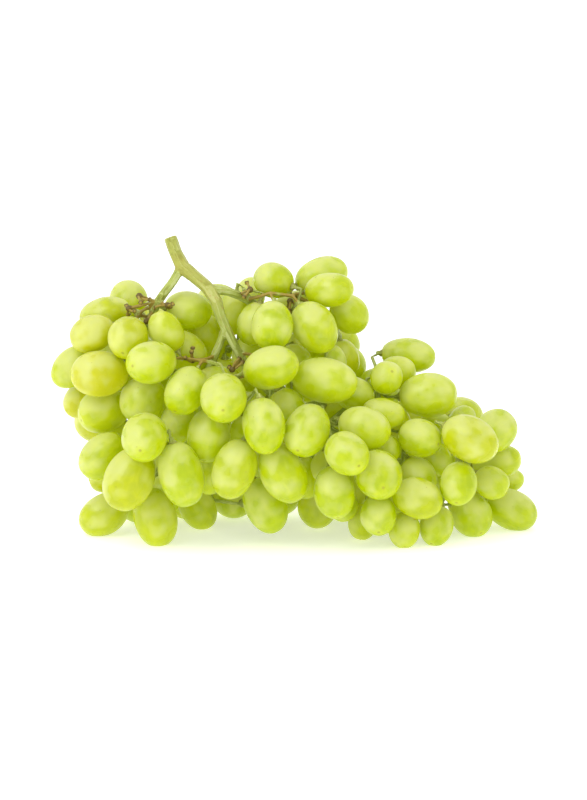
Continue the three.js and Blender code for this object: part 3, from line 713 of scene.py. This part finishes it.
@dataclass
class BerryForm:
    """Turns a spheroid into a grape.

    Attributes:
        around: Corners round the berry.
        rings: Even rings from end to end, besides the fine ones at its ends.
        end_angles: Fine rings near each end, in degrees from its pole.
        dimple_depth: How far the skin sinks round the pedicel.
        dimple_radius: How wide that dimple is.
        scar_depth: How far the blossom scar sits in.
        scar_width: How wide the sunk ring round the scar is.
        lump: How far the skin swells and sinks at most.
        lumps: How many slow waves the swelling is made of.
        lump_pace: How quickly a wave runs round the berry.
        belly: Least and greatest share by which the blossom half is wider.
        squeeze: How much wider one side can be than the other, as a share.
        fullness: Below 1 makes the sides fuller than a spheroid's.
        vein_stretch: Length of a vein, next to the gap between veins.
        vein_gather: How closely the veins gather at the ends.
    """

    around: int = 48
    rings: int = 30
    end_angles: tuple[float, ...] = (1.2, 2.6, 4.2, 6.5, 9.5)
    dimple_depth: float = 0.55 * MM
    dimple_radius: float = 2.6 * MM
    scar_depth: float = 0.22 * MM
    scar_width: float = 1.3 * MM
    lump: float = 0.16 * MM
    lumps: int = 7
    lump_pace: float = 2.6
    belly: tuple[float, float] = (-0.025, 0.04)
    squeeze: float = 0.02
    fullness: float = 0.95
    vein_stretch: float = 0.55
    vein_gather: float = 0.35

    def polar_angles(self) -> np.ndarray:
        """Lists the rings' angles from the blossom pole, in radians."""
        ends = np.array(self.end_angles)
        middle = np.linspace(13, 167, self.rings)
        return np.radians(np.concatenate([ends, middle, 180 - ends[::-1]]))

    def end_relief(self, scar_far: np.ndarray, stem_far: np.ndarray) -> np.ndarray:
        """Sinks the blossom scar's rim and the dimple round the pedicel.

        Args:
            scar_far: Each corner's distance from the scar, along the skin.
            stem_far: Its distance from the pedicel, along the skin.

        Returns:
            How far each corner moves towards the blossom end.
        """
        dimple = np.exp(-((stem_far / self.dimple_radius) ** 2) * 2)
        rim = np.exp(-(((scar_far - self.scar_width * 0.6) / (self.scar_width * 0.5)) ** 2))
        return self.dimple_depth * dimple - self.scar_depth * rim

    def add_to(
        self, surface: Surface, oval: Oval, chance: np.random.Generator, ripe: float, pale: float
    ) -> None:
        """Builds one grape.

        Args:
            surface: What it is added to.
            oval: Its place and size.
            chance: Where its own irregularities come from.
            ripe: How yellow it is, from 0 to 1.
            pale: How pale it is, from 0 to 1.
        """
        angles = self.polar_angles()
        turns = np.arange(self.around) * math.tau / self.around
        theta = np.concatenate([[0.0], np.repeat(angles, self.around), [math.pi]])
        phi = np.concatenate([[0.0], np.tile(turns, len(angles)), [0.0]])
        belly = chance.uniform(*self.belly)
        radius = oval.half_width * np.sin(theta) ** self.fullness * (1 + belly * np.cos(theta))
        scar_far = oval.half_width * theta
        height = oval.half_length * np.cos(theta)
        height += self.end_relief(scar_far, oval.half_width * (math.pi - theta))
        local = np.stack([radius * np.cos(phi), radius * np.sin(phi), height], axis=1)
        outward = local / np.array([oval.half_width, oval.half_width, oval.half_length])
        swell = np.zeros(len(local))
        for _ in range(self.lumps):
            wave = chance.normal(size=3) * self.lump_pace
            swell += np.cos(outward @ wave + chance.uniform(0, math.tau)) / self.lumps
        squeeze = 1 + chance.uniform(-self.squeeze, self.squeeze)
        local += outward * (swell * self.lump * 2)[:, None]
        local[:, 0] *= squeeze
        local[:, 1] /= squeeze
        first, second = across(oval.axis)
        spin = chance.uniform(0, math.tau)
        side = first * math.cos(spin) + second * math.sin(spin)
        basis = np.stack([side, np.cross(oval.axis, side), oval.axis])
        points = oval.centre + local @ basis
        points[:, 2] = np.maximum(points[:, 2], 0.0)
        # Each berry takes its pattern from a place of its own.
        own = chance.uniform(0, 400, 3)
        rays = np.stack([np.cos(phi), np.sin(phi), theta * self.vein_stretch], axis=1)
        rays[:, :2] *= np.sin(theta)[:, None] ** self.vein_gather
        nature = np.stack([scar_far / MM, np.full(len(theta), ripe), np.full(len(theta), pale)], axis=1)
        surface.add(
            points,
            [tuple(reversed(face)) for face in lathe_faces(self.around, len(angles))],
            berry_place=local / MM + own,
            berry_rays=rays + own,
            berry_nature=nature,
        )


@dataclass
class Bunch:
    """All the berries.

    Attributes:
        form: How a grape departs from a spheroid.
        skin: The finish.
        seed: Start of the irregularities.
        ripe: How yellow berries are, from 0 to 1, on average.
        ripe_left: How much yellower the ones at the left end are.
        ripe_spread: How much berries differ in that.
        left_end: Share of the bunch's length that is that end.
        most_pale: How pale the palest berry is, from 0 to 1.
        whole: The outer berries by CAD node.
        tucked: The tucked berries by CAD node.
    """

    form: BerryForm = field(default_factory=BerryForm)
    skin: GrapeSkin = field(default_factory=GrapeSkin)
    seed: int = 11
    ripe: float = 0.12
    ripe_left: float = 0.55
    ripe_spread: float = 0.12
    left_end: float = 0.2
    most_pale: float = 0.6
    whole: dict[str, Oval] = field(default_factory=dict)
    tucked: dict[str, list[Oval]] = field(default_factory=dict)

    def read(self) -> None:
        """Reads every berry back from the CAD nodes."""
        for node in sorted(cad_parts):
            if node.startswith("berry_"):
                self.whole[node] = whole_berry(node)
            elif node.startswith("sprig_"):
                self.tucked[node] = tucked_berries(CadMesh(node))

    def ovals(self) -> list[Oval]:
        """Lists every berry."""
        return list(self.whole.values()) + [oval for ovals in self.tucked.values() for oval in ovals]

    def ripeness(self, oval: Oval, chance: np.random.Generator) -> float:
        """Makes the berries at the left end the yellowest.

        Args:
            oval: The berry.
            chance: Where its own difference comes from.

        Returns:
            How yellow it is, from 0 to 1.
        """
        (low, _, _), (high, _, _) = CAD_BOUNDS
        left = 1 - (oval.centre[0] - low) / (high - low)
        at_end = max(0.0, left - (1 - self.left_end)) / self.left_end
        ripe = self.ripe + self.ripe_left * at_end + chance.normal() * self.ripe_spread
        return float(np.clip(ripe, 0, 1))

    def build(self) -> None:
        """Builds one piece for each CAD node's berries."""
        material = self.skin.material()
        chance = np.random.default_rng(self.seed)
        groups = {node: [oval] for node, oval in self.whole.items()} | self.tucked
        for node, ovals in groups.items():
            alone = node in self.whole
            slot = Slot.SKIN if alone else Slot.TUCKED_SKIN
            name = ("grape_" if alone else "grapes_of_") + node.split("_", 1)[1]
            surface = Surface()
            for oval in ovals:
                ripe = self.ripeness(oval, chance)
                pale = float(chance.uniform(0, self.most_pale))
                self.form.add_to(surface, oval, chance, ripe, pale)
            hand_over(surface.piece(name, material), slot, node)


# ---- Stem ------------------------------------------------------------------


@dataclass
class Stalks:
    """The stem, and the branchlets that carry the tucked berries.

    Attributes:
        bunch: The berries, which are taken off the branchlets' CAD meshes.
        finish: The stem's finish.
        swell: How far the faceted CAD skin is first moved out.
        grain: Size of the even mesh it is rebuilt with.
        smoothing: How many times that mesh is smoothed.
        groove: How deep the grooves between the fibres are.
        grooved: Thickness at which the grooves begin and at which they are
            full depth.
        knob_radius: Radius of the dried pedicels' round ends in the CAD.
        knob_cap: Least and greatest height of such an end's first ring of
            triangles.
        berry_skin: How far out corners still belong to a berry, where 1 is on
            its skin.
        deepest: The thickest that the stem can be.
        thinnest: Thickness where it can't be measured.
        thin: Thickness up to which a dried pedicel counts as one, and from
            which it doesn't.
        tan: Thickness at which the stem begins to turn tan, and where it is.
        dried: Distance from a knob within which a pedicel is dried, and from
            which it isn't.
        shrivelled: The same for the knob itself.
        charred: The same for its darkest part.
    """

    bunch: Bunch
    finish: GreenStem = field(default_factory=GreenStem)
    swell: float = 0.3 * MM
    grain: float = 0.42 * MM
    smoothing: int = 9
    groove: float = 0.16 * MM
    grooved: tuple[float, float] = (1.6 * MM, 4.5 * MM)
    knob_radius: float = 1.4 * MM
    knob_cap: tuple[float, float] = (0.3 * MM, 0.55 * MM)
    berry_skin: float = 1.012
    deepest: float = 12 * MM
    thinnest: float = 1.5 * MM
    thin: tuple[float, float] = (2.3 * MM, 3.2 * MM)
    tan: tuple[float, float] = (3.6 * MM, 6.2 * MM)
    dried: tuple[float, float] = (9 * MM, 14 * MM)
    shrivelled: tuple[float, float] = (1.6 * MM, 3.0 * MM)
    charred: tuple[float, float] = (1.0 * MM, 2.4 * MM)

    def bare(self, mesh: CadMesh, ovals: list[Oval]) -> bmesh.types.BMesh:
        """Takes the berries off a CAD mesh and closes the pedicels' ends.

        Args:
            mesh: The CAD mesh.
            ovals: The berries on it.

        Returns:
            The closed pedicels.
        """
        on_berry = np.zeros(len(mesh.triangles), bool)
        for oval in ovals:
            close = oval.level(mesh.points) < self.berry_skin
            on_berry |= close[mesh.triangles].all(axis=1)
        body = bmesh.new()
        corners = [body.verts.new(point) for point in mesh.points]
        for triangle in mesh.triangles[~on_berry].tolist():
            body.faces.new([corners[i] for i in triangle])
        bmesh.ops.delete(body, geom=[v for v in body.verts if not v.link_faces], context="VERTS")
        bmesh.ops.holes_fill(body, edges=[e for e in body.edges if e.is_boundary], sides=0)
        bmesh.ops.triangulate(body, faces=body.faces[:])
        return body

    def refined(self, body: bmesh.types.BMesh) -> bpy.types.Mesh:
        """Rebuilds a faceted body as a fine, even and smooth one.

        Args:
            body: The faceted body, which is used up.

        Returns:
            The fine mesh.
        """
        body.normal_update()
        for vert in body.verts:
            vert.co += vert.normal * self.swell
        mesh = bpy.data.meshes.new("faceted")
        body.to_mesh(mesh)
        body.free()
        helper = bpy.data.objects.new("faceted", mesh)
        bpy.context.scene.collection.objects.link(helper)
        remesh = helper.modifiers.new("even", "REMESH")
        remesh.mode = "VOXEL"
        remesh.voxel_size = self.grain
        relax = helper.modifiers.new("soft", "SMOOTH")
        relax.factor = 0.5
        relax.iterations = self.smoothing
        graph = bpy.context.evaluated_depsgraph_get()
        fine = bpy.data.meshes.new_from_object(helper.evaluated_get(graph))
        bpy.data.objects.remove(helper)
        bpy.data.meshes.remove(mesh)
        return fine

    def knobs(self, mesh: CadMesh) -> np.ndarray:
        """Finds the round ends of the dried pedicels.

        Args:
            mesh: The stem's CAD mesh, where a knob is a six-sided ball whose
                poles lie along Y.

        Returns:
            The knobs' middles, one row each.
        """
        found: list[np.ndarray] = []
        low, high = self.knob_cap
        for pole in mesh.poles(6):
            inward = mesh.points[list(mesh.around[pole])].mean(0) - mesh.points[pole]
            depth = float(np.linalg.norm(inward))
            if abs(inward[1]) > 0.98 * depth and low < depth < high:
                centre = mesh.points[pole] + inward / depth * self.knob_radius
                # A knob has two poles, and is kept once.
                if all(np.linalg.norm(centre - other) > 1.0 * MM for other in found):
                    found.append(centre)
        return np.array(found).reshape(-1, 3)

    def thickness(self, mesh: bpy.types.Mesh, points: np.ndarray, normals: np.ndarray) -> np.ndarray:
        """Measures how thick a mesh is at each corner, straight inwards.

        Args:
            mesh: The mesh.
            points: Its corners.
            normals: Their outward directions.

        Returns:
            The thickness at each corner.
        """
        tree = BVHTree.FromPolygons(points.tolist(), [tuple(p.vertices) for p in mesh.polygons])
        found = np.zeros(len(points))
        for i, (point, normal) in enumerate(zip(points, normals)):
            inward = Vector(-normal)
            hit = tree.ray_cast(Vector(point) + inward * 0.05 * MM, inward, self.deepest)
            found[i] = hit[3] if hit[3] is not None else self.thinnest
        return found

    def dress(self, mesh: bpy.types.Mesh, knobs: np.ndarray) -> tuple[np.ndarray, np.ndarray]:
        """Cuts the grooves and stores what the finish reads.

        Args:
            mesh: The fine mesh.
            knobs: Middles of the dried pedicels' ends.

        Returns:
            The mesh's corners and how thick it is at each.
        """
        count = len(mesh.vertices)
        points = np.zeros(count * 3)
        normals = np.zeros(count * 3)
        mesh.vertices.foreach_get("co", points)
        mesh.vertex_normals.foreach_get("vector", normals)
        points, normals = points.reshape(-1, 3), normals.reshape(-1, 3)
        thickness = self.thickness(mesh, points, normals)
        spots = normals * (self.finish.streaks_round / math.tau) + points / self.finish.streak_length
        ridges = np.array([noise.noise(Vector(spot)) for spot in spots])
        depth = self.groove * smooth_step(*self.grooved, thickness)
        points = points + normals * (ridges * 2 * depth)[:, None]
        mesh.vertices.foreach_set("co", points.ravel())
        dried = np.zeros(count)
        charred = np.zeros(count)
        if len(knobs):
            nearest = np.linalg.norm(points[:, None] - knobs[None], axis=2).min(axis=1)
            thin = 1 - smooth_step(*self.thin, thickness)
            dried = (1 - smooth_step(*self.dried, nearest)) * thin
            dried = np.maximum(dried, 1 - smooth_step(*self.shrivelled, nearest))
            charred = 1 - smooth_step(*self.charred, nearest)
        nature = np.stack([dried, smooth_step(*self.tan, thickness), charred], axis=1)
        store = mesh.attributes.new("stem_nature", "FLOAT_VECTOR", "POINT")
        store.data.foreach_set("vector", nature.astype(np.float32).ravel())
        mesh.update()
        return points, thickness

    def build(self) -> None:
        """Builds the stem and the branchlets."""
        material = self.finish.material()
        stem = CadMesh("stem")
        knobs = self.knobs(stem)
        LOG.info("dried pedicels found: %d", len(knobs))
        mesh = self.refined(self.bare(stem, []))
        points, thickness = self.dress(mesh, knobs)
        hand_over(place("stalk", mesh, material), Slot.STEM, "stem")
        trim = StemTrim()
        trim.collars(self.bunch.ovals(), material)
        trim.stubs(knobs, points[thickness > trim.trunk_from], self.bunch.ovals(), material)
        for node, ovals in self.bunch.tucked.items():
            mesh = self.refined(self.bare(CadMesh(node), ovals))
            self.dress(mesh, np.zeros((0, 3)))
            name = "branchlet_of_" + node.removeprefix("sprig_")
            hand_over(place(name, mesh, material), Slot.STEM, node)


@dataclass
class StemTrim:
    """The small parts that end a pedicel: collars and dried stubs.

    Attributes:
        around: Corners round each small part.
        collar_profile: Height above the berry and radius of a collar, in
            millimetres, from its narrow end to its wide one. The radius is that
            on a berry of collar_berry.
        collar_berry: Half width of the berry that the profile fits.
        collar_sink: How far a collar's foot is set into the berry.
        collar_dried: How dried a collar is, from its narrow end to its wide one.
        collar_charred: How charred it is, in the same way.
        twig_rings: Rings along a dried stub.
        twig_radius: Radius of a dried stub.
        knob: How much wider its round end is.
        stubs_each: Dried stubs beside each one that the CAD holds.
        stub_reach: Least and greatest length of a stub.
        stub_root: Least and greatest share of the way to the knob at which a
            stub leaves it.
        stub_tries: How many places are tried for the stubs of one knob.
        stub_room: How far out of a berry a stub stays, where 1 is on its skin.
        trunk_from: Thickness from which the stem counts as a stub's root.
        wart: How uneven their skin is, as a share of the radius.
        seed: Start of the irregularities.
    """

    around: int = 12
    collar_profile: tuple[tuple[float, float], ...] = (
        (2.6, 0.5), (2.3, 0.85), (1.5, 0.95), (0.9, 1.3), (0.5, 1.75), (0.1, 1.9), (-0.4, 1.7)
    )
    collar_berry: float = 9 * MM
    collar_sink: float = 0.4 * MM
    collar_dried: tuple[float, float] = (0.1, 0.45)
    collar_charred: tuple[float, float] = (0.0, 0.35)
    twig_rings: int = 14
    twig_radius: float = 0.5 * MM
    knob: float = 2.1
    stubs_each: int = 3
    stub_reach: tuple[float, float] = (3.5 * MM, 7.5 * MM)
    stub_root: tuple[float, float] = (0.35, 0.95)
    stub_tries: int = 60
    stub_room: float = 1.12
    trunk_from: float = 2.6 * MM
    wart: float = 0.12
    seed: int = 23

    def turned(
        self,
        surface: Surface,
        path: np.ndarray,
        radii: np.ndarray,
        nature: np.ndarray,
        chance: np.random.Generator,
    ) -> None:
        """Adds an uneven round skin along a path.

        Args:
            surface: What it is added to.
            path: Points along its middle.
            radii: Radius at each point.
            nature: What the finish reads at each point.
            chance: Where its unevenness comes from.
        """
        first, second = across(unit(path[-1] - path[0]))
        turns = np.arange(self.around) * math.tau / self.around
        rim = np.cos(turns)[:, None] * first + np.sin(turns)[:, None] * second
        uneven = 1 + self.wart * chance.normal(size=(len(path), self.around, 1))
        rings = path[:, None] + rim[None] * radii[:, None, None] * uneven
        points = np.concatenate([path[:1], rings.reshape(-1, 3), path[-1:]])
        values = np.concatenate([nature[:1], np.repeat(nature, self.around, axis=0), nature[-1:]])
        surface.add(points, lathe_faces(self.around, len(path)), stem_nature=values)

    def collars(self, ovals: list[Oval], material: bpy.types.Material) -> None:
        """Sets a flared, warty collar on the stem end of every berry.

        Args:
            ovals: The berries.
            material: The stem's finish.
        """
        chance = np.random.default_rng(self.seed)
        surface = Surface()
        heights, radii = np.array(self.collar_profile).T * MM
        rows = len(radii)
        dried, charred = (np.linspace(*ends, rows) for ends in (self.collar_dried, self.collar_charred))
        nature = np.stack([dried, np.zeros(rows), charred], axis=1)
        for oval in ovals:
            foot = oval.centre - oval.axis * (oval.half_length - self.collar_sink)
            path = foot - heights[:, None] * oval.axis
            self.turned(surface, path, radii * oval.half_width / self.collar_berry, nature, chance)
        hand_over(surface.piece("berry_collars", material), Slot.STEM)

    def stubs(
        self, knobs: np.ndarray, trunk: np.ndarray, ovals: list[Oval], material: bpy.types.Material
    ) -> None:
        """Adds dried stubs round each dried pedicel, clear of the berries.

        Args:
            knobs: Middles of the dried pedicels' ends.
            trunk: Corners of the stem where it is thick.
            ovals: The berries.
            material: The stem's finish.
        """
        chance = np.random.default_rng(self.seed + 1)
        surface = Surface()
        share = np.linspace(0, 1, self.twig_rings)
        bulge = np.exp(-(((share - 0.9) / 0.1) ** 2))
        radii = self.twig_radius * (1 + (self.knob - 1) * bulge)
        radii[-1] *= 0.6
        nature = np.stack([np.ones(len(share)), np.zeros(len(share)), bulge * 0.9], axis=1)
        for knob in knobs:
            root = trunk[np.argmin(np.linalg.norm(trunk - knob, axis=1))]
            made = 0
            for _ in range(self.stub_tries):
                start = root + (knob - root) * chance.uniform(*self.stub_root)
                outward = unit(chance.normal(size=3) + unit(knob - root) * 0.6)
                end = start + outward * chance.uniform(*self.stub_reach)
                bend = (start + end) / 2 + chance.normal(size=3) * 0.7 * MM
                rest = 1 - share[:, None]
                path = rest**2 * start + 2 * rest * share[:, None] * bend + share[:, None] ** 2 * end
                clear = all(oval.level(path).min() > self.stub_room for oval in ovals)
                if made < self.stubs_each and clear:
                    self.turned(surface, path, radii, nature, chance)
                    made += 1
        hand_over(surface.piece("dried_stubs", material), Slot.STEM)


# ---- Studio ----------------------------------------------------------------


@dataclass(frozen=True)
class Lamp:
    """A square soft lamp.

    Attributes:
        name: Its name.
        spot: Where it hangs, in metres.
        size: Its side, in metres.
        power: Its power, in watts.
    """

    name: str
    spot: tuple[float, float, float]
    size: float
    power: float


@dataclass
class Studio:
    """Floor, lamps and camera.

    Attributes:
        paper: The floor's finish.
        floor_radius: The floor's radius, in metres.
        floor_corners: Corners round the floor.
        lamps: The lamps, which all face the bunch.
        room: Strength of the white light from all round.
        aim_drop: How far below the box's middle the camera aims.
        aim_left: How far to the left of it.
        aim_back: How far behind it.
        distance: How far off the camera is.
        elevation: How steeply it looks down, in degrees.
        lens: Its focal length, in millimetres.
        sight: How far the camera sees, in metres.
    """

    paper: FloorPaper = field(default_factory=FloorPaper)
    floor_radius: float = 14.0
    floor_corners: int = 96
    lamps: tuple[Lamp, ...] = (
        Lamp("key_softbox", (-0.5, -0.5, 0.75), 0.5, 2.6),
        Lamp("front_fill", (0.35, -0.9, 0.75), 0.12, 0.5),
    )
    room: float = 0.97
    aim_drop: float = 7.1 * MM
    aim_left: float = 0.9 * MM
    aim_back: float = 4.3 * MM
    distance: float = 1.2
    elevation: float = 10.0
    lens: float = 125.0
    sight: float = 60.0

    def floor(self) -> None:
        """Lays a round sheet of paper."""
        surface = Surface()
        corners = self.floor_corners
        turns = np.arange(corners) * math.tau / corners
        rim = np.stack([np.cos(turns), np.sin(turns), np.zeros(corners)], axis=1) * self.floor_radius
        surface.add(rim, [tuple(range(corners))])
        sheet = surface.piece("floor", self.paper.material())

    def hang(self, lamp: Lamp) -> None:
        """Hangs a lamp that faces the bunch."""
        light = bpy.data.lights.new(lamp.name, "AREA")
        light.shape = "SQUARE"
        light.size = lamp.size
        light.energy = lamp.power
        hung = bpy.data.objects.new(lamp.name, light)
        hung.location = lamp.spot
        hung.rotation_euler = (self.aim() - Vector(lamp.spot)).to_track_quat("-Z", "Y").to_euler()
        bpy.context.scene.collection.objects.link(hung)

    def aim(self) -> Vector:
        """Gives the point that the camera looks at."""
        low, high = (Vector(corner) for corner in CAD_BOUNDS)
        middle = (low + high) / 2
        return middle + Vector((-self.aim_left, self.aim_back, -self.aim_drop))

    def build(self) -> None:
        """Sets the studio up."""
        scene = bpy.context.scene
        self.floor()
        for lamp in self.lamps:
            self.hang(lamp)
        world = bpy.data.worlds.new("white_room")
        world.use_nodes = True
        backdrop = world.node_tree.nodes["Background"]
        backdrop.inputs["Color"].default_value = linear("FFFFFF")
        backdrop.inputs["Strength"].default_value = self.room
        scene.world = world
        camera = bpy.data.objects.new("camera", bpy.data.cameras.new("camera"))
        camera.data.lens = self.lens
        camera.data.clip_end = self.sight
        tilt = math.radians(self.elevation)
        camera.location = self.aim() + Vector((0, -math.cos(tilt), math.sin(tilt))) * self.distance
        camera.rotation_euler = (self.aim() - camera.location).to_track_quat("-Z", "Y").to_euler()
        scene.collection.objects.link(camera)
        scene.camera = camera
        scene.view_settings.view_transform = "Standard"


def main() -> None:
    """Builds the bunch and its studio."""
    logging.basicConfig(level=logging.INFO, format="%(message)s")
    bunch = Bunch()
    bunch.read()
    bunch.build()
    Stalks(bunch).build()
    Studio().build()


if __name__ == "__main__":
    main()
